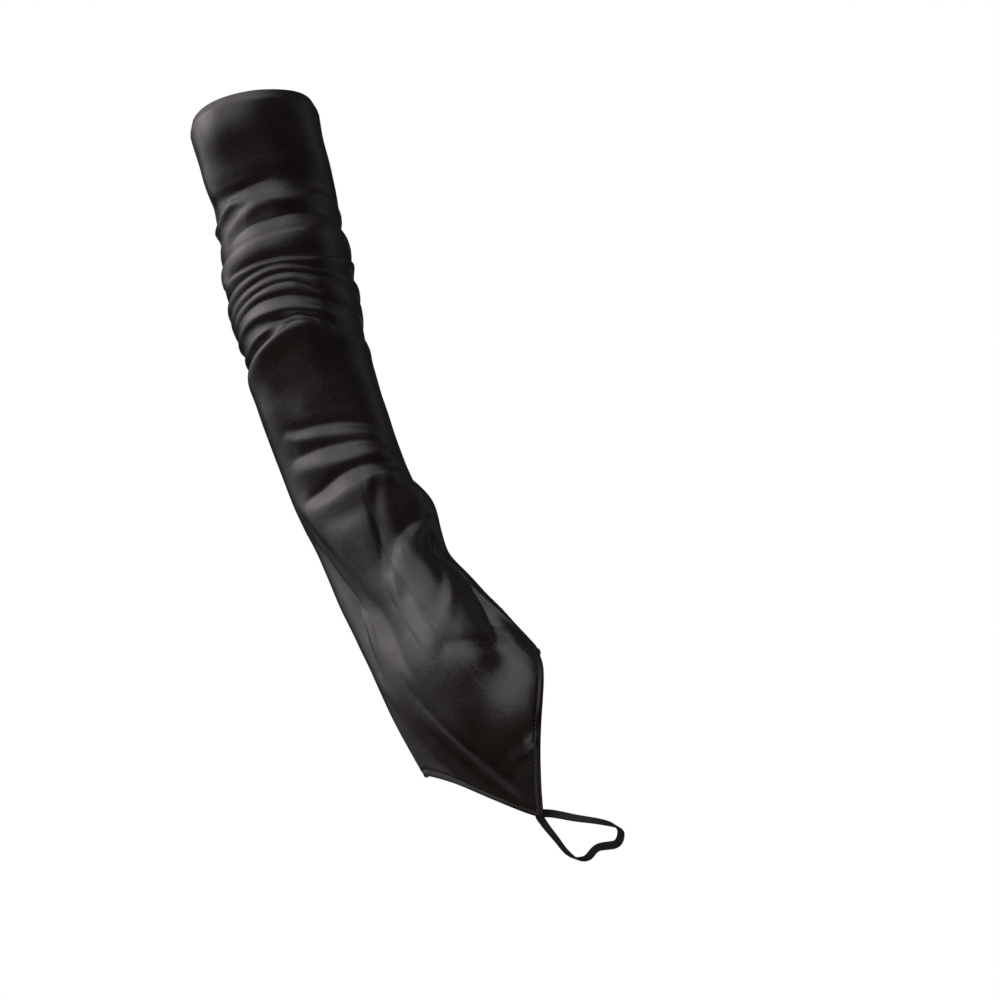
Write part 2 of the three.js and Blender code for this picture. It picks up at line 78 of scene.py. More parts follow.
# Cross-sections along the sleeve, from the arm opening to the hand opening.
# place: share of the cloth's length. down, shift and lift: the middle of the section, as
# shares of SLEEVE_LENGTH. tilt: degrees, the thumb's side up. breadth: the width that the
# section follows, and wide its share of that width. front and back: shares of the
# section's own width, from its middle to the back of the hand and to the palm.
# Columns: place, down, shift, lift, tilt, breadth, wide, front, back.
SECTIONS = [
    [0, -0.0097, -0.005, 0, -7.7, UPPER_ARM_WIDTH, 1.025, 0.469, 0.5],
    [0.05, 0.0464, -0.01, 0.0009, -8.3, UPPER_ARM_WIDTH, 0.984, 0.489, 0.51],
    [0.13, 0.125, -0.0147, -0.0045, -8, UPPER_ARM_WIDTH, 0.952, 0.504, 0.51],
    [0.21, 0.1975, -0.0253, -0.0158, -6, UPPER_ARM_WIDTH, 0.961, 0.51, 0.51],
    [0.3, 0.2958, -0.0371, -0.0056, -3, UPPER_ARM_WIDTH, 1.022, 0.475, 0.48],
    [0.39, 0.3952, -0.0439, 0.007, -1, UPPER_ARM_WIDTH, 0.948, 0.49, 0.49],
    [0.5, 0.5087, -0.049, 0.0126, 0, WRIST_WIDTH, 1.055, 0.49, 0.47],
    [0.62, 0.6324, -0.0483, 0.0204, 1, WRIST_WIDTH, 1.005, 0.46, 0.45],
    [0.7, 0.7223, -0.0412, 0.0386, 4, WRIST_WIDTH, 0.993, 0.43, 0.41],
    [0.78, 0.813, -0.0342, 0.0602, 10, WRIST_WIDTH, 0.99, 0.38, 0.38],
    [0.86, 0.9086, -0.0171, 0.0934, 18, HAND_WIDTH, 0.797, 0.3, 0.31],
    [0.93, 0.9862, -0.0024, 0.1175, 24, HAND_WIDTH, 0.882, 0.25, 0.265],
    [1, 1.0614, 0.0135, 0.1367, 29, HAND_WIDTH, 0.952, 0.232, 0.232],
]

# The main folds. A crease is a sharp valley, a roll a rounded ridge, and a roll with a
# negative height a soft dent. A fold that runs round is a list of [angle, place], and one
# that runs down is a list of [place, angle].
# above and below: how far the fold spreads to either side, as shares of FOLD_WIDTH; above
# is towards the arm opening or the little finger. height: a share of FOLD_DEPTH.
# Columns: runs, form, above, below, height, path.
FOLDS = [
    # soft bands of the upper arm
    ["round", "roll", 1.3, 0.23, 0.54, [[175, 0.13], [150, 0.148], [120, 0.159], [95, 0.158]]],
    [
        "round", "roll", 1.26, 1.3, -0.9,
        [[175, 0.156], [150, 0.164], [120, 0.169], [90, 0.171], [30, 0.166], [10, 0.165]],
    ],
    [
        "round", "roll", 0.41, 0.38, 0.41,
        [[118, 0.219], [90, 0.211], [60, 0.214], [30, 0.195], [-20, 0.206]],
    ],
    ["round", "roll", 0.26, 0.2, 0.62, [[185, 0.185], [150, 0.195], [130, 0.189], [116, 0.196]]],
    ["round", "roll", 0.35, 0.33, 0.3, [[195, 0.242], [160, 0.222], [130, 0.221], [116, 0.207]]],
    [
        "round", "crease", 0.42, 0.44, 0.49,
        [[205, 0.206], [165, 0.215], [130, 0.21], [114, 0.205]],
    ],
    [
        "round", "crease", 1.01, 1.3, 1.15,
        [[215, 0.276], [165, 0.25], [120, 0.239], [90, 0.241],
         [60, 0.235], [30, 0.232], [-35, 0.236]],
    ],
    [
        "round", "roll", 0.64, 1.3, 0.85,
        [[170, 0.27], [120, 0.276], [90, 0.277], [60, 0.273], [30, 0.249], [-10, 0.256]],
    ],
    # gathers at the elbow
    [
        "round", "crease", 0.17, 0.31, 0.7,
        [[215, 0.268], [165, 0.292], [130, 0.297], [90, 0.307],
         [60, 0.315], [40, 0.31], [0, 0.29], [-35, 0.285]],
    ],
    [
        "round", "roll", 0.24, 0.54, 0.85,
        [[160, 0.293], [130, 0.303], [90, 0.312], [60, 0.317], [30, 0.308], [-10, 0.289]],
    ],
    [
        "round", "crease", 1.11, 0.15, 1.15,
        [[188, 0.315], [160, 0.313], [110, 0.316], [90, 0.319],
         [70, 0.326], [50, 0.331], [-15, 0.321]],
    ],
    [
        "round", "crease", 0.17, 0.15, 0.5,
        [[215, 0.328], [165, 0.332], [120, 0.332], [100, 0.332],
         [80, 0.337], [60, 0.345], [40, 0.349], [-15, 0.359]],
    ],
    [
        "round", "crease", 0.15, 0.15, 0.38,
        [[175, 0.348], [130, 0.346], [100, 0.347], [80, 0.353], [62, 0.37]],
    ],
    [
        "round", "crease", 0.17, 0.97, 0.54,
        [[210, 0.365], [165, 0.361], [120, 0.359], [100, 0.365],
         [80, 0.372], [60, 0.383], [40, 0.39], [-20, 0.394]],
    ],
    [
        "round", "roll", 0.43, 0.32, 0.75,
        [[190, 0.376], [160, 0.378], [130, 0.378], [90, 0.392], [50, 0.412]],
    ],
    [
        "round", "crease", 0.88, 0.81, 0.85,
        [[215, 0.38], [150, 0.383], [120, 0.387], [100, 0.399],
         [80, 0.403], [60, 0.432], [40, 0.438], [-20, 0.435]],
    ],
    ["round", "roll", 0.2, 0.23, 0.32, [[185, 0.401], [150, 0.404], [115, 0.404]]],
    [
        "round", "crease", 0.46, 0.15, 1.15,
        [[190, 0.415], [150, 0.418], [125, 0.418], [104, 0.415]],
    ],
    [
        "round", "roll", 0.4, 0.7, 0.77,
        [[165, 0.451], [130, 0.428], [110, 0.421], [90, 0.419],
         [70, 0.424], [50, 0.44], [-10, 0.436]],
    ],
    # folds above the wrist
    ["round", "roll", 0.26, 0.27, -0.27, [[140, 0.546], [120, 0.555], [80, 0.566], [45, 0.58]]],
    ["round", "roll", 0.46, 0.62, 0.68, [[142, 0.56], [130, 0.57], [90, 0.585], [38, 0.602]]],
    ["round", "crease", 0.65, 0.2, 0.42, [[145, 0.586], [120, 0.592], [90, 0.599], [38, 0.616]]],
    ["round", "roll", 0.66, 0.68, 0.66, [[150, 0.606], [120, 0.616], [80, 0.63], [36, 0.632]]],
    ["round", "crease", 0.28, 0.43, 0.73, [[150, 0.646], [120, 0.646], [80, 0.644], [34, 0.65]]],
    ["round", "roll", 0.27, 0.79, 0.46, [[156, 0.658], [120, 0.67], [80, 0.669], [38, 0.664]]],
    # long folds over the wrist
    ["down", "roll", 0.56, 1.3, 0.55, [[0.65, 155], [0.69, 149], [0.73, 137], [0.8, 113]]],
    ["round", "roll", 0.67, 0.4, -0.2, [[130, 0.695], [105, 0.702], [82, 0.705]]],
    ["down", "crease", 0.27, 0.22, 0.14, [[0.65, 76], [0.7, 83], [0.74, 84], [0.785, 104]]],
    [
        "down", "roll", 0.43, 0.43, -0.41,
        [[0.665, 63], [0.72, 80], [0.76, 88], [0.785, 86], [0.84, 102]],
    ],
    ["down", "roll", 0.78, 0.51, -0.19, [[0.67, 59], [0.71, 66], [0.745, 77], [0.78, 87]]],
    [
        "round", "crease", 0.63, 0.84, 1.0,
        [[88, 0.781], [75, 0.762], [55, 0.75], [35, 0.74], [20, 0.732]],
    ],
    [
        "round", "roll", 0.35, 0.78, 0.7,
        [[105, 0.82], [88, 0.788], [70, 0.767], [50, 0.755], [30, 0.745], [16, 0.738]],
    ],
    ["round", "roll", 1.4, 1.9, 1.3, [[42, 0.716], [20, 0.712], [0, 0.708], [-50, 0.704]]],
    ["round", "crease", 0.37, 0.22, 0.29, [[42, 0.67], [20, 0.669], [0, 0.66], [-35, 0.655]]],
    ["round", "crease", 0.62, 1.3, 1.15, [[38, 0.772], [28, 0.767], [18, 0.76]]],
    [
        "round", "crease", 1.3, 0.77, 0.88,
        [[82, 0.844], [66, 0.839], [50, 0.817], [35, 0.793], [24, 0.776]],
    ],
    [
        "round", "roll", 0.25, 0.3, 0.31,
        [[82, 0.865], [60, 0.844], [45, 0.826], [30, 0.803]],
    ],
    # the U-shaped fold beside the thumb
    ["down", "roll", 1.3, 1.3, -0.9, [[0.78, 22], [0.83, 39], [0.885, 37], [0.925, 45]]],
    [
        "round", "crease", 0.33, 0.72, 1.12,
        [[92, 0.88], [77, 0.903], [63, 0.925], [50, 0.92], [37, 0.912], [28, 0.892], [20, 0.855]],
    ],
    [
        "round", "roll", 0.47, 0.48, 0.18,
        [[95, 0.872], [77, 0.909], [63, 0.93], [50, 0.92], [37, 0.931], [27, 0.898], [20, 0.855]],
    ],
    # the fold along the little finger's side
    [
        "down", "crease", 1.04, 0.39, 0.66,
        [[0.69, 172], [0.745, 163], [0.785, 154], [0.82, 157], [0.87, 160]],
    ],
    [
        "down", "roll", 0.24, 1.3, -0.35,
        [[0.69, 159], [0.745, 164], [0.785, 154], [0.82, 142], [0.87, 158]],
    ],
    # towards the point
    ["round", "roll", 1.01, 0.63, 0.85, [[90, 0.908], [65, 0.926], [50, 0.948]]],
    ["round", "roll", 1.3, 1.04, -0.9, [[105, 0.933], [85, 0.943], [65, 0.945], [50, 0.956]]],
    ["down", "roll", 0.49, 0.47, 0.33, [[0.89, 156], [0.93, 153], [0.99, 146]]],
    ["down", "roll", 0.48, 0.25, 0.39, [[0.89, 132], [0.93, 131], [0.99, 126]]],
    ["down", "crease", 0.39, 1.15, 0.99, [[0.88, 132], [0.925, 127], [0.98, 119]]],
    ["round", "crease", 0.13, 0.85, 1.05, [[114, 0.97], [106, 0.977], [98, 0.988], [86, 0.999]]],
]

# Soft swells and hollows of the cloth over the back of the arm and the hand. Each spreads over
# SWELL_WIDE degrees round the sleeve and SWELL_LONG of its length.
# Columns: place, then the height at each of SWELL_ANGLES, as a share of FOLD_DEPTH.
SWELLS = [
    [0.06, -0.8, -0.3, 1.2, 0.8],
    [0.13, -1.2, -1.2, -0.8, 0.8],
    [0.5, -1.1, -0.8, -1.76, 0.52],
    [0.58, -1.21, -1.66, -1.65, -2.29],
    [0.66, 0.7, -0.44, -1.39, -2],
    [0.74, -0.81, 0.0, -1.1, -1.9],
    [0.8, 1.1, -0.5, -2.0, -2.3],
    [0.86, 1.63, 1.6, 1.5, 1.0],
    [0.92, -0.31, 2.1, 2.5, -0.6],
    [0.98, 2.8, 2.8, 0.4, -2.41],
]
SWELL_ANGLES = [55, 90, 125, 160]
SWELL_WIDE = 26
SWELL_LONG = 0.055

# Gathers that go on behind the elbow, and creases inside the wrist, both at even distances.
# Columns: count, from, step, wave, above, below, height.
BACK_FOLDS = [
    [7, 0.245, 0.0275, 0.008, 0.5, 0.22, 0.75],
    [4, 0.6, 0.042, 0.006, 0.6, 0.25, 0.5],
]
BACK_END_ANGLES = [196, 344]  # the angles between which they run
BACK_TURN = 2.1  # radians by which the wave of one fold lags behind the next
BACK_SWAY = 1.7  # the same from one knot of a fold to the next
FADE_ANGLE = 32  # a fold that runs round comes up and dies away over this angle
FADE_PLACE = 0.05  # one that runs down does so over this share of the length
CREASE_ROUND = 0.4  # millimetres: no crease is sharper

# The unevenness of soft cloth: how many waves, the seed of their directions, and millimetres
RIPPLE_COUNT = 9
RIPPLE_SEED = 4
RIPPLE_SIZE = 0.12

# The edges of the cloth and their hems, in millimetres
UPPER_HEM_DEPTH = 6.0
HAND_HEM_DEPTH = 4.0
HEM_LEAN = 2.7  # how far the arm's rim leans in
HEM_RUN = 8.2  # over this depth
HEM_CURVE = 1.05  # the lean's exponent: 1 is straight
DIP_END = 0.2  # the rim's dip has died away at this place
TIP_ROUND = 2.2  # the point's rounding
TIP_SPREAD = 0.42  # half the hand at the point, as a share of HAND_WIDTH
TIP_CUT = 1.1  # how strongly the rounding takes the point back
SEAM_IN = 2.3  # the stitches of the hand opening lie this far inside its edge
SEAM_DIP = 0.45  # the seam presses this deep into the cloth
SEAM_SPREAD = 0.55  # to either side over this distance
STITCH_PITCH = 1.8
EDGE_BAND = 7.0  # the rows of faces follow an edge over this width
INNER_GAP = 0.2  # the inner face keeps this much more than CLOTH below the creases

# Columns of faces round the sleeve: from one angle to the next, and how many.
COLUMNS = [[-20, 200, 186], [200, 340, 54]]
# Rows of faces between the two edge bands: from one place to the next, and how many.
ROWS = [
    [0, 0.22, 44],
    [0.22, 0.46, 146],
    [0.46, 0.66, 56],
    [0.66, 0.97, 76],
]


def smoothstep(x, low, high):
    s = np.clip((x - low) / (high - low), 0, 1)
    return s * s * (3 - 2 * s)


def through(rows, x):
    """A smooth curve through rows of [x, y] that are sorted by x, level beyond its ends."""
    xs, ys = np.array(rows, float).T
    last = len(xs) - 1
    x = np.clip(x, xs[0], xs[-1])
    i = np.clip(np.searchsorted(xs, x) - 1, 0, last - 1)
    before = np.maximum(np.arange(last + 1) - 1, 0)
    after = np.minimum(np.arange(last + 1) + 1, last)
    slope = (ys[after] - ys[before]) / (xs[after] - xs[before])
    width = xs[i + 1] - xs[i]
    s = (x - xs[i]) / width
    return (
        (2 * s**3 - 3 * s**2 + 1) * ys[i]
        + (s**3 - 2 * s**2 + s) * width * slope[i]
        + (3 * s**2 - 2 * s**3) * ys[i + 1]
        + (s**3 - s**2) * width * slope[i + 1]
    )


def section_curves():
    names = ("down", "shift", "lift", "tilt", "half", "front", "back")
    curves = {name: [] for name in names}
    for place, down, shift, lift, tilt, breadth, wide, front, back in SECTIONS:
        width = breadth * wide
        row = (
            down * SLEEVE_LENGTH,
            shift * SLEEVE_LENGTH,
            lift * SLEEVE_LENGTH,
            math.radians(tilt),
            width / 2,
            width * front,
            width * back,
        )
        for name, value in zip(names, row):
            curves[name].append([place, value])
    return curves


CURVES = section_curves()
POINT_ANGLE = math.acos(POINT_SIDE_SHARE)


def opening_edge(angle):
    """How far a row at the hand opening reaches towards the point, or rises over the palm."""
    across, up = np.cos(angle), np.sin(angle)
    thumb = POINT_LENGTH * (1 - across) / (1 - POINT_SIDE_SHARE)
    little = POINT_LENGTH * (np.maximum(0, 1 + across) / (1 + POINT_SIDE_SHARE)) ** POINT_ROUND
    edge = np.where(across > POINT_SIDE_SHARE, thumb, little)
    beside = (angle - POINT_ANGLE) * HAND_WIDTH * TIP_SPREAD
    edge = edge - (np.sqrt(beside**2 + TIP_ROUND**2) - np.abs(beside)) * TIP_CUT
    return np.where(up < 0, -PALM_RISE * up * up, edge)


def skin(angle, place, out=0.0):
    """Points of the smooth sleeve without folds, moved out of it by `out`."""
    at = {name: through(rows, place) for name, rows in CURVES.items()}
    across, up = np.cos(angle), np.sin(angle)
    sideways = at["half"] * across + out * across
    depth = np.where(up > 0, at["front"], at["back"]) * up + out * up
    bend = np.maximum(0, (place - POINT_FROM_PLACE) / (1 - POINT_FROM_PLACE)) ** POINT_BEND
    dip = RIM_DIP * up * (1 - smoothstep(place, 0, DIP_END))
    along = opening_edge(angle) * bend + dip
    tilt = at["tilt"]
    return np.stack(
        [
            at["shift"] + np.cos(tilt) * sideways + np.sin(tilt) * along,
            -at["lift"] - depth,
            -at["down"] + np.sin(tilt) * sideways - np.cos(tilt) * along,
        ],
        -1,
    )


def back_folds():
    first, last = BACK_END_ANGLES
    knots = 5
    folds = []
    for count, start, step, wave, above, below, height in BACK_FOLDS:
        for k in range(count):
            path = [
                [
                    first + (last - first) * n / (knots - 1),
                    start + step * k + wave * math.sin(BACK_TURN * k + BACK_SWAY * n),
                ]
                for n in range(knots)
            ]
            folds.append(["round", "crease", above, below, height, path])
    return folds


def profile(form, above, below, height, distance):
    """The height of a fold at a distance from its line, of which above is the negative side."""
    spread = np.where(distance < 0, above, below) * FOLD_WIDTH
    if form == "roll":
        return height * FOLD_DEPTH * np.exp(-((distance / spread) ** 2))
    near = np.hypot(distance, CREASE_ROUND) - CREASE_ROUND
    return -height * FOLD_DEPTH * np.exp(-near / spread)


def relief(angle, place):
    """How far all the folds together lift the cloth, without its swells."""
    degrees = np.degrees(angle)
    height = np.zeros_like(place)
    arc_of_degree = math.radians(WRIST_WIDTH / 2)
    for runs, form, above, below, share, path in FOLDS + back_folds():
        path = sorted(path)
        first, last = path[0][0], path[-1][0]
        if runs == "round":
            middle = (first + last) / 2
            x = (degrees - middle + 180) % 360 + middle - 180
            line = through(path, x)
            rise = (through(path, x + 1) - through(path, x - 1)) / 2
            slant = np.hypot(1, rise * SLEEVE_LENGTH / arc_of_degree)
            distance = (place - line) * SLEEVE_LENGTH / slant
            fade = FADE_ANGLE
        else:
            x = place
            turn = (through(path, x) - degrees + 180) % 360 - 180
            distance = np.radians(turn) * through(CURVES["half"], place)
            fade = FADE_PLACE
        half = fade / 2
        part = smoothstep(x, first - half, first + half)
        part = part * (1 - smoothstep(x, last - half, last + half))
        height += part * profile(form, above, below, share, distance)
    return height


def swells(angle, place):
    """How far the swells lift the cloth. They die away towards its two sides."""
    degrees = np.degrees(angle) % 360
    front = np.maximum(0, np.sin(angle)) * FOLD_DEPTH
    height = np.zeros_like(place)
    for at, *shares in SWELLS:
        near = np.exp(-(((place - at) / SWELL_LONG) ** 2)) * front
        for middle, share in zip(SWELL_ANGLES, shares):
            height += share * near * np.exp(-(((degrees - middle) / SWELL_WIDE) ** 2))
    return height


def ripples(angle, place, count, seed, size):
    """Sum of long sine waves with fixed random directions: the unevenness of soft cloth."""
    random = np.random.default_rng(seed)
    total = np.zeros_like(place)
    for _ in range(count):
        turns = random.integers(1, 7)
        waves = random.uniform(2, 16)
        phase = random.uniform(0, 2 * math.pi)
        total += np.sin(turns * angle + waves * 2 * math.pi * place + phase)
    return size * total / math.sqrt(count)


def unit(v):
    return v / np.linalg.norm(v, axis=-1, keepdims=True)


def band_share(angle, edge, width):
    """The share of the length that a band of this width takes at an edge of the cloth."""
    small = 0.01
    rim = skin(angle, np.full_like(angle, edge))
    inside = skin(angle, np.full_like(angle, small if edge == 0 else 1 - small))
    run = (inside - rim) / small
    shares = []
    for turn in (-small, small):
        rimwise = unit(skin(angle + turn, np.full_like(angle, edge)) - rim)
        across = run - rimwise * np.sum(run * rimwise, -1, keepdims=True)
        shares.append(width / np.linalg.norm(across, axis=-1))
    return (shares[0] + shares[1]) / 2


def steps(table, end=True):
    values = [a + (b - a) * n / count for a, b, count in table for n in range(count)]
    return np.array(values + [table[-1][1]] if end else values)


def cloth_height(angle, place, rim, edge):
    """All that lifts the cloth: folds, unevenness and the shapes of the two hems.

    rim and edge are the distances from the arm's rim and from the hand opening's edge."""
    height = relief(angle, place) + swells(angle, place)
    height += ripples(angle, place, RIPPLE_COUNT, RIPPLE_SEED, RIPPLE_SIZE)
    height -= HEM_LEAN * np.clip(1 - rim / HEM_RUN, 0, 1) ** HEM_CURVE
    height -= SEAM_DIP * np.exp(-(((edge - SEAM_IN) / SEAM_SPREAD) ** 2))
    return height


def surface(angle, rim=None, edge=None, out=0.0):
    """Points of the cloth's outer face, at a distance from one of its edges."""
    share_rim = band_share(angle, 0, 1.0)
    share_edge = band_share(angle, 1, 1.0)
    place = 1 - share_edge * edge if rim is None else share_rim * rim
    return face(angle, place, place / share_rim, (1 - place) / share_edge, out)


def face(angle, place, rim, edge, out):
    return skin(angle, place, cloth_height(angle, place, rim, edge) + out)


def mesh_piece(name, points, faces, uv, material):
    mesh = bpy.data.meshes.new(name)
    mesh.from_pydata((np.asarray(points) * MM).tolist(), [], [tuple(f) for f in faces])
    mesh.update()
    mesh.polygons.foreach_set("use_smooth", [True] * len(mesh.polygons))
    if uv is not None:
        layer = mesh.uv_layers.new(name="cloth")
        layer.data.foreach_set("uv", np.asarray(uv, np.float32).ravel())
    piece = bpy.data.objects.new(name, mesh)
    bpy.context.scene.collection.objects.link(piece)
    mesh.materials.append(material)
    return piece


def grid_faces(rows, columns, close_rows=False):
    """Quads of a grid of points whose columns close on themselves."""
    last = rows if close_rows else rows - 1
    i, j = np.meshgrid(np.arange(last), np.arange(columns), indexing="ij")
    i, j = i.ravel(), j.ravel()
    below, beside = (i + 1) % rows * columns, (j + 1) % columns
    return np.stack([i * columns + j, i * columns + beside, below + beside, below + j], -1)


def grid_uv(points):
    """Distances round and along a closed grid, in metres, for each corner of its quads."""
    rows, columns = points.shape[:2]
    ring = np.linalg.norm(np.roll(points, -1, 1) - points, axis=-1).mean(0)
    u = np.concatenate([[0], np.cumsum(ring)]) * MM
    length = np.linalg.norm(np.roll(points, -1, 0) - points, axis=-1).mean(1)
    v = np.concatenate([[0], np.cumsum(length)]) * MM
    i, j = np.meshgrid(np.arange(rows), np.arange(columns), indexing="ij")
    corners = [(i, j), (i, j + 1), (i + 1, j + 1), (i + 1, j)]
    return np.stack([np.stack([u[b], -v[a]], -1) for a, b in corners], -2).reshape(-1, 2)


ANGLES = np.radians(steps(COLUMNS, end=False))


def sleeve_cloth(material):
    """The whole cloth as one closed wall, from the inside of the rim round to itself."""
    share_rim = band_share(ANGLES, 0, 1.0)
    share_edge = band_share(ANGLES, 1, 1.0)
    top, low = share_rim * EDGE_BAND, 1 - share_edge * EDGE_BAND
    half = CLOTH / 2
    turns = np.radians([0, 36, 72, 108, 144, 180])
    rim_first, rim_last, rim_step = 1.2, EDGE_BAND - 0.3, 0.64
    edge_last, edge_step = 0.75, 0.4
    last_place = ROWS[-1][1]
    places, outs = [], []

    def add(place, out=0.0):
        places.append(place)
        outs.append(np.full_like(place, out))

    # the turned edges are half a circle from the outer to the inner face
    for a in turns[::-1]:
        add(share_rim * half * (1 - math.sin(a)), -half * (1 - math.cos(a)))
    for w in np.arange(rim_first, rim_last, rim_step):
        add(share_rim * w)
    first = len(places)
    for share in steps([[a / last_place, b / last_place, n] for a, b, n in ROWS]):
        add(top + (low - top) * share)
    last = len(places)
    for w in np.arange(EDGE_BAND - edge_step, edge_last, -edge_step):
        add(1 - share_edge * w)
    for a in turns:
        add(1 - share_edge * half * (1 - math.sin(a)), -half * (1 - math.cos(a)))
    place = np.array(places)
    angle = np.broadcast_to(ANGLES, place.shape)
    outer = face(angle, place, place / share_rim, (1 - place) / share_edge, np.array(outs))
    # The inner face has fewer rows, and stays under the deepest crease near each. It doesn't
    # follow what rises, so that the wall is thicker under the swells.
    skip = 6
    middle = angle[first:last], place[first:last]
    folds = relief(*middle) + swells(*middle)
    inner = []
    for k in range(last - first - 1 - skip, skip, -skip):
        lowest = folds[max(0, k - skip) : k + skip + 1].min(0)
        lowest = np.min([np.roll(lowest, n) for n in (-2, -1, 0, 1, 2)], 0)
        inner.append(skin(ANGLES, place[first + k], np.minimum(lowest, 0) - CLOTH - INNER_GAP))
    grid = np.concatenate([outer, inner])
    faces = grid_faces(len(grid), len(ANGLES), close_rows=True)
    return mesh_piece("sleeve_cloth", grid.reshape(-1, 3), faces, grid_uv(grid), material)


def turned_hem(name, at_rim, width, material):
    """The cloth's edge turned in: a band on the inner face, as wide as the hem."""
    key = "rim" if at_rim else "edge"
    start, under, thick, parts = 0.7, CLOTH + 0.1, 0.8, 8
    corner, front, back = 0.1, 0.15, 0.2
    outline = [(start, 0.0)]
    outline += [(start + (width - start) * n / parts, 0.0) for n in range(1, parts)]
    outline += [(width, corner), (width + front, thick / 2), (width, thick - corner)]
    outline += [(start + (width - start) * n / parts, thick) for n in range(parts - 1, 0, -1)]
    outline += [(start, thick), (start - back, thick / 2)]
    rows = [surface(ANGLES, out=-under - depth, **{key: w}) for w, depth in outline]
    grid = np.array(rows if at_rim else rows[::-1])[::-1]
    faces = grid_faces(len(grid), len(ANGLES), close_rows=True)
    return mesh_piece(name, grid.reshape(-1, 3), faces, grid_uv(grid), material)


def stitches(material):
    """Small dashes of thread round the hand opening, along the seam of its hem."""
    fine = np.linspace(0, 2 * math.pi, 3001)
    line = surface(fine, edge=SEAM_IN)
    outward = surface(fine, edge=SEAM_IN, out=1.0) - line
    length = np.concatenate([[0], np.cumsum(np.linalg.norm(np.diff(line, axis=0), axis=1))])
    count = int(length[-1] / STITCH_PITCH)
    pitch = length[-1] / count
    random = np.random.default_rng(7)
    along = np.array([-1, -0.9, -0.55, 0, 0.55, 0.9, 1])
    girth = np.array([0.05, 0.55, 0.95, 1, 0.95, 0.55, 0.05])
    around = 8
    wide, thick = 0.2, 0.15
    raised, sunk = 0.16, 0.22
    middle = pitch * (np.arange(count) + 0.5) + random.normal(0, 0.06, count)
    half = pitch * 0.34 * (1 + random.normal(0, 0.08, count))
    slant = random.normal(0.10, 0.05, count)
    s = middle[:, None] + along * half[:, None]

    def on(rows, at):
        return np.stack([np.interp(at, length, rows[:, c]) for c in range(3)], -1)

    at = on(line, s)
    out = unit(on(outward, s))
    ahead = unit(on(line, s + 0.2) - at)
    side = np.cross(ahead, out)
    centre = at + out * (raised - sunk * along**2)[:, None]
    centre = centre + side * (slant * half)[:, None, None] * along[:, None]
    turn = 2 * math.pi * np.arange(around) / around
    ring = side[:, :, None] * (np.cos(turn) * wide)[:, None]
    ring = ring + out[:, :, None] * (np.sin(turn) * thick)[:, None]
    points = (centre[:, :, None] + ring * girth[:, None, None]).reshape(-1, 3)
    faces = []
    rows = len(along)
    for base in range(0, len(points), rows * around):
        for f in grid_faces(rows, around):
            faces.append([base + int(n) for n in f[::-1]])
        faces.append([base + a for a in range(around)])
        end = base + (rows - 1) * around
        faces.append([end + a for a in reversed(range(around))])
    return mesh_piece("hem_stitches", points, faces, None, material)


# The middle line of the finger's tape.
# Columns: across, as a share of half the finger's width; along, as a share of the leg; up,
# as a share of the finger's depth.
LOOP_PATH = [
    [0, -0.08, 0],
    [0.22, 0.04, 0],
    [0.62, 0.5, 0.02],
    [0.95, 0.85, -0.05],
    [1.04, 1.0, -0.3],
    [0.86, 1.03, -0.75],
    [0.3, 0.99, -1],
    [-0.3, 1.1, -1],
    [-0.86, 1.07, -0.75],
    [-1.04, 1.0, -0.3],
    [-0.95, 0.85, -0.05],
    [-0.62, 0.5, 0.02],
    [-0.22, 0.04, 0],
]
LOOP_STEPS = 260


def closed_curve(points, count):
    """Points at even distances on the centripetal Catmull-Rom curve through closed points."""
    points = np.array(points)
    pieces = 40
    total = len(points)
    fine = []
    for i in range(total):
        p0, p1, p2, p3 = (points[(i + n) % total] for n in (-1, 0, 1, 2))
        d0, d1, d2 = (math.sqrt(np.linalg.norm(b - a)) for a, b in ((p0, p1), (p1, p2), (p2, p3)))
        t1 = ((p1 - p0) / d0 - (p2 - p0) / (d0 + d1) + (p2 - p1) / d1) * d1
        t2 = ((p2 - p1) / d1 - (p3 - p1) / (d1 + d2) + (p3 - p2) / d2) * d1
        s = np.linspace(0, 1, pieces, endpoint=False)[:, None]
        fine.append(
            p1
            + t1 * s
            + (-3 * p1 + 3 * p2 - 2 * t1 - t2) * s**2
            + (2 * p1 - 2 * p2 + t1 + t2) * s**3
        )
    fine = np.concatenate(fine + [points[:1]])
    length = np.concatenate([[0], np.cumsum(np.linalg.norm(np.diff(fine, axis=0), axis=1))])
    at = np.linspace(0, length[-1], count, endpoint=False)
    return np.stack([np.interp(at, length, fine[:, c]) for c in range(3)], -1)


def turned(v, axis, angle):
    across = np.cross(axis, v)
    along = axis * (axis @ v)
    return v * math.cos(angle) + across * math.sin(angle) + along * (1 - math.cos(angle))


def one(angle, place, out=0.0):
    """A point of the folded cloth, without the shapes of its hems."""
    angle, place = np.array([angle]), np.array([float(place)])
    return skin(angle, place, relief(angle, place) + swells(angle, place) + out)[0]


def point_frame():
    """The middle of the point's edge, with the ways across the hand, along it and out of it."""
    tip = one(POINT_ANGLE, 1, HEM_PROUD - HEM_THICKNESS - SEAM_GAP - TAPE_THICKNESS / 2)
    near, turn = 0.97, math.radians(8)
    along = unit(one(POINT_ANGLE, 1) - one(POINT_ANGLE, near))
    side = unit(one(POINT_ANGLE - turn, near) - one(POINT_ANGLE + turn, near))
    out = unit(np.cross(along, side))
    along = turned(along, out, math.radians(LOOP_TURN))
    return tip, along, np.cross(out, along), out


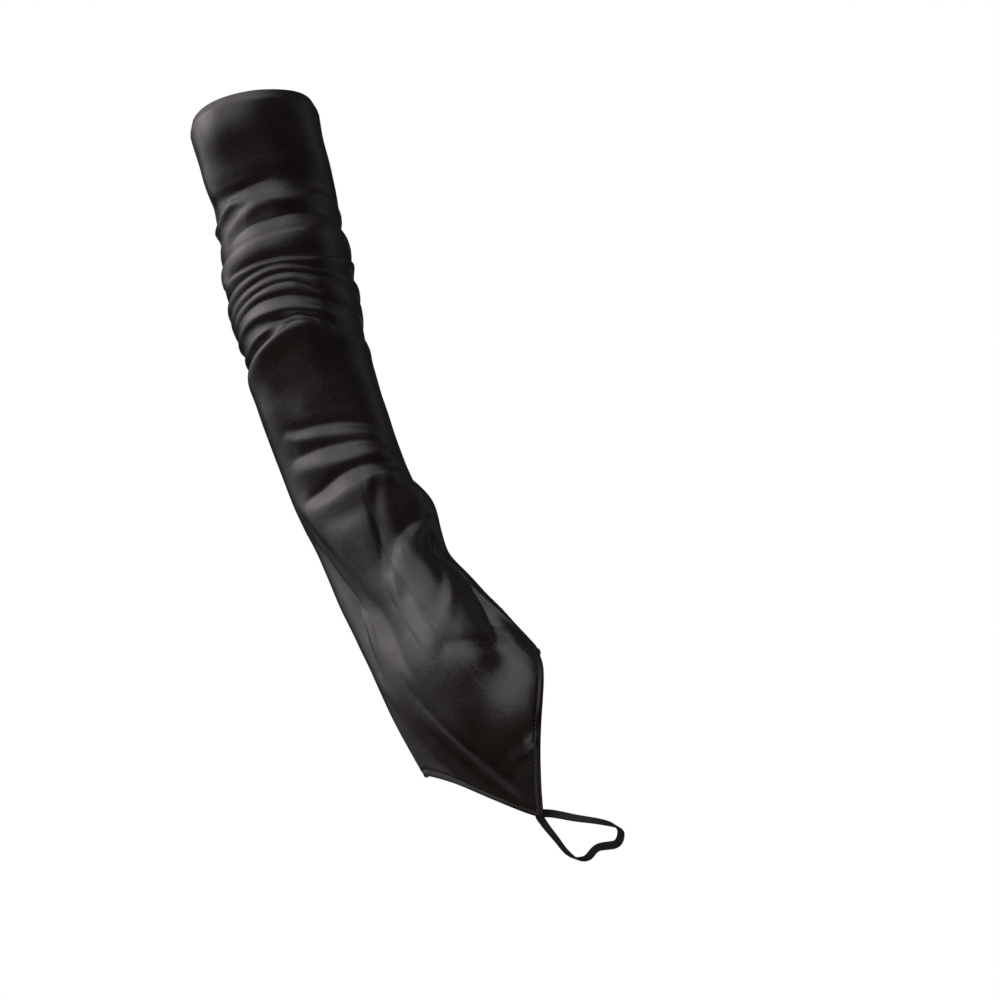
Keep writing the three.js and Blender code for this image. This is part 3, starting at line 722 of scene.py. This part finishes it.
def finger_tape(material):
    tip, along, across, out = point_frame()

    def place(a, b, c):
        return tip + across * a + along * b + out * c

    route = [
        place(a * FINGER_WIDTH / 2, b * (LITTLE_LEG if a < 0 else THUMB_LEG), c * FINGER_DEPTH)
        for a, b, c in LOOP_PATH
    ]
    line = closed_curve(route, LOOP_STEPS)
    forward = unit(np.roll(line, -1, 0) - np.roll(line, 1, 0))
    flat = line - place(0, 0, -FINGER_DEPTH / 2)
    flat = flat - (flat @ along)[:, None] * along
    flat = unit(flat - np.sum(flat * forward, -1, keepdims=True) * forward)
    wide = np.cross(forward, flat)
    around = 20
    wide_power, flat_power = 0.45, 0.55  # below 1, they square the tape's section
    ring = []
    for a in range(around):
        turn = 2 * math.pi * a / around
        w = math.copysign(abs(math.cos(turn)) ** wide_power, math.cos(turn)) * TAPE_WIDTH / 2
        t = math.copysign(abs(math.sin(turn)) ** flat_power, math.sin(turn)) * TAPE_THICKNESS / 2
        ring.append(line + wide * w + flat * t)
    grid = np.stack(ring, 1)
    faces = grid_faces(LOOP_STEPS, around, close_rows=True)[:, ::-1]
    uv = grid_uv(grid).reshape(-1, 4, 2)[:, ::-1].reshape(-1, 2)
    return mesh_piece("finger_tape", grid.reshape(-1, 3), faces, uv, material)


def node(tree, kind, **inputs):
    made = tree.nodes.new(kind)
    for key, value in inputs.items():
        target = made.inputs.get(key)
        if target is not None:
            target.default_value = value
        else:
            setattr(made, key, value)
    return made


def cloth_material(name, colour, light, roughness, grain, bump):
    """Satin or tape: a near-black weave whose fine grain breaks up its shine."""
    material = bpy.data.materials.new(name)
    material.use_nodes = True
    tree = material.node_tree
    tree.nodes.clear()
    link = tree.links.new
    output = tree.nodes.new("ShaderNodeOutputMaterial")
    shader = tree.nodes.new("ShaderNodeBsdfPrincipled")
    shader.inputs["Specular IOR Level"].default_value = 0.5
    link(shader.outputs[0], output.inputs["Surface"])
    uv = node(tree, "ShaderNodeUVMap", uv_map="cloth")
    stretch = node(tree, "ShaderNodeMapping")
    stretch.inputs["Scale"].default_value = grain
    link(uv.outputs[0], stretch.inputs["Vector"])
    threads = node(tree, "ShaderNodeTexNoise", Scale=1.0, Detail=2.0, Roughness=0.6)
    link(stretch.outputs[0], threads.inputs["Vector"])
    soft = node(tree, "ShaderNodeTexNoise", Scale=90.0, Detail=3.0, Roughness=0.55)
    coords = node(tree, "ShaderNodeTexCoord")
    link(coords.outputs["Object"], soft.inputs["Vector"])
    ramp = node(tree, "ShaderNodeValToRGB")
    ramp.color_ramp.elements[0].color = (*colour, 1)
    ramp.color_ramp.elements[1].color = (*light, 1)
    ramp.color_ramp.elements[0].position = 0.35
    ramp.color_ramp.elements[1].position = 0.75
    link(threads.outputs[0], ramp.inputs[0])
    link(ramp.outputs[0], shader.inputs["Base Color"])
    rough = node(tree, "ShaderNodeMapRange")
    rough.inputs["From Min"].default_value = 0.3
    rough.inputs["From Max"].default_value = 0.7
    rough.inputs["To Min"].default_value = roughness - 0.04
    rough.inputs["To Max"].default_value = roughness + 0.05
    link(soft.outputs[0], rough.inputs["Value"])
    link(rough.outputs[0], shader.inputs["Roughness"])
    fine = node(tree, "ShaderNodeBump", Strength=1.0, Distance=bump * MM)
    link(threads.outputs[0], fine.inputs["Height"])
    wide = node(tree, "ShaderNodeBump", Strength=1.0, Distance=0.25 * MM)
    link(soft.outputs[0], wide.inputs["Height"])
    link(fine.outputs[0], wide.inputs["Normal"])
    link(wide.outputs[0], shader.inputs["Normal"])
    return material


# The lights. They stand at LIGHT_DISTANCE from LIGHT_MIDDLE and face it.
# Columns: name, direction in which the light stands, width and height, radiance.
LIGHTS = [
    ["top_light", (-0.223, -0.376, 0.899), (1.5, 1.2), 1.34],
    ["left_light", (-0.6, 0.02, 0.8), (0.95, 0.75), 1.2],
    ["side_light", (-0.93, 0.05, 0.36), (0.9, 0.6), 0.45],
    ["right_light", (0.943, 0.1, 0.318), (0.74, 1.23), 0.18],
    ["back_light", (0.3, 0.95, -0.08), (1.0, 0.9), 0.55],
    ["low_light", (-0.12, -0.77, -0.63), (0.62, 0.58), 2.1],
]
LIGHT_MIDDLE = (-0.005, -0.01, -0.23)
LIGHT_DISTANCE = 1.15
LIGHT_COLOUR = (1.06, 1.0, 1.01)
WORLD_LIGHT = 0.035  # what the white surroundings give; the camera sees them at 1
FLOOR_HEIGHT = -1.0
FLOOR_REACH = 4
FLOOR_GLOW = 0.62  # for the camera alone


def softbox(name, towards, size, radiance):
    """A rectangular light that faces the mitten."""
    light = bpy.data.lights.new(name, "AREA")
    light.shape = "RECTANGLE"
    light.size, light.size_y = size
    light.energy = radiance * math.pi * size[0] * size[1]
    light.color = LIGHT_COLOUR
    lamp = bpy.data.objects.new(name, light)
    bpy.context.scene.collection.objects.link(lamp)
    way = Vector(towards).normalized()
    lamp.location = Vector(LIGHT_MIDDLE) + way * LIGHT_DISTANCE
    lamp.rotation_mode = "QUATERNION"
    lamp.rotation_quaternion = (-way).to_track_quat("-Z", "Y")
    lamp.visible_camera = False


def studio():
    scene = bpy.context.scene
    scene.view_settings.view_transform = "Standard"
    scene.view_settings.look = "None"
    world = bpy.data.worlds.new("studio")
    scene.world = world
    world.use_nodes = True
    tree = world.node_tree
    tree.nodes.clear()
    output = tree.nodes.new("ShaderNodeOutputWorld")
    seen = node(tree, "ShaderNodeBackground", Color=(1, 1, 1, 1), Strength=1.0)
    around = node(tree, "ShaderNodeBackground", Color=(1, 1, 1, 1), Strength=WORLD_LIGHT)
    path = tree.nodes.new("ShaderNodeLightPath")
    mix = tree.nodes.new("ShaderNodeMixShader")
    tree.links.new(path.outputs["Is Camera Ray"], mix.inputs[0])
    tree.links.new(around.outputs[0], mix.inputs[1])
    tree.links.new(seen.outputs[0], mix.inputs[2])
    tree.links.new(mix.outputs[0], output.inputs["Surface"])

    for light in LIGHTS:
        softbox(*light)

    floor_mesh = bpy.data.meshes.new("floor")
    corners = [(-1, -1), (1, -1), (1, 1), (-1, 1)]
    points = [(x * FLOOR_REACH, y * FLOOR_REACH, 0) for x, y in corners]
    floor_mesh.from_pydata(points, [], [(0, 1, 2, 3)])
    floor = bpy.data.objects.new("floor", floor_mesh)
    floor.location = (0, 0, FLOOR_HEIGHT)
    scene.collection.objects.link(floor)
    pale = bpy.data.materials.new("pale_floor")
    pale.use_nodes = True
    tree = pale.node_tree
    shader = tree.nodes["Principled BSDF"]
    shader.inputs["Base Color"].default_value = (0.8, 0.79, 0.78, 1)
    shader.inputs["Roughness"].default_value = 0.9
    shader.inputs["Emission Color"].default_value = (1, 0.99, 0.98, 1)
    # it looks pale without throwing light on the dark cloth
    path = tree.nodes.new("ShaderNodeLightPath")
    glow = node(tree, "ShaderNodeMath", operation="MULTIPLY")
    glow.inputs[1].default_value = FLOOR_GLOW
    tree.links.new(path.outputs["Is Camera Ray"], glow.inputs[0])
    tree.links.new(glow.outputs[0], shader.inputs["Emission Strength"])
    floor_mesh.materials.append(pale)


# The camera, in millimetres: its place, and the ways to its right and ahead
CAMERA_PLACE = (5.88, -957.31, -815.47)
CAMERA_RIGHT = (0.9391, 0.1338, -0.3164)
CAMERA_AHEAD = (0.0396, 0.8728, 0.4864)
CAMERA_LENS = 79.2
CAMERA_SENSOR = 36


def camera():
    scene = bpy.context.scene
    data = bpy.data.cameras.new("camera")
    data.sensor_width = CAMERA_SENSOR
    data.lens = CAMERA_LENS
    data.clip_start, data.clip_end = 0.05, 50
    cam = bpy.data.objects.new("camera", data)
    scene.collection.objects.link(cam)
    right = Vector(CAMERA_RIGHT).normalized()
    look = Vector(CAMERA_AHEAD).normalized()
    up = right.cross(look).normalized()
    right = look.cross(up)
    turn = Matrix((right, up, -look)).transposed()
    cam.matrix_world = Matrix.Translation(Vector(CAMERA_PLACE) * MM) @ turn.to_4x4()
    scene.camera = cam


camera()
studio()

# Each cloth: name, dark and light colour of its threads, roughness, threads to a metre round
# and along, and the height of a thread in millimetres.
satin = cloth_material(
    "satin", (0.0093, 0.0064, 0.0041), (0.0142, 0.0099, 0.0066), 0.36, (1600, 900, 1), 0.11
)
turned_satin = cloth_material(
    "turned_satin", (0.012, 0.009, 0.007), (0.02, 0.0155, 0.012), 0.46, (1600, 900, 1), 0.06
)
tape = cloth_material(
    "tape", (0.008, 0.007, 0.007), (0.02, 0.018, 0.018), 0.7, (2600, 1100, 1), 0.08
)
thread = cloth_material(
    "thread", (0.085, 0.088, 0.078), (0.14, 0.144, 0.128), 0.5, (3000, 3000, 1), 0.04
)

sleeve = sleeve_cloth(satin)
upper = turned_hem("turned_upper_hem", True, UPPER_HEM_DEPTH, turned_satin)
lower = turned_hem("turned_hand_hem", False, HAND_HEM_DEPTH, turned_satin)
sewing = stitches(thread)
loop = finger_tape(tape)

for piece, slot in (
    (sleeve, "satin"),
    (upper, "turned_satin"),
    (lower, "turned_satin"),
    (sewing, "turned_satin"),
    (loop, "tape"),
):
    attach(piece, "root")

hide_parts("sleeve")
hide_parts("upper_hem")
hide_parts("hand_hem")
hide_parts("finger_loop")
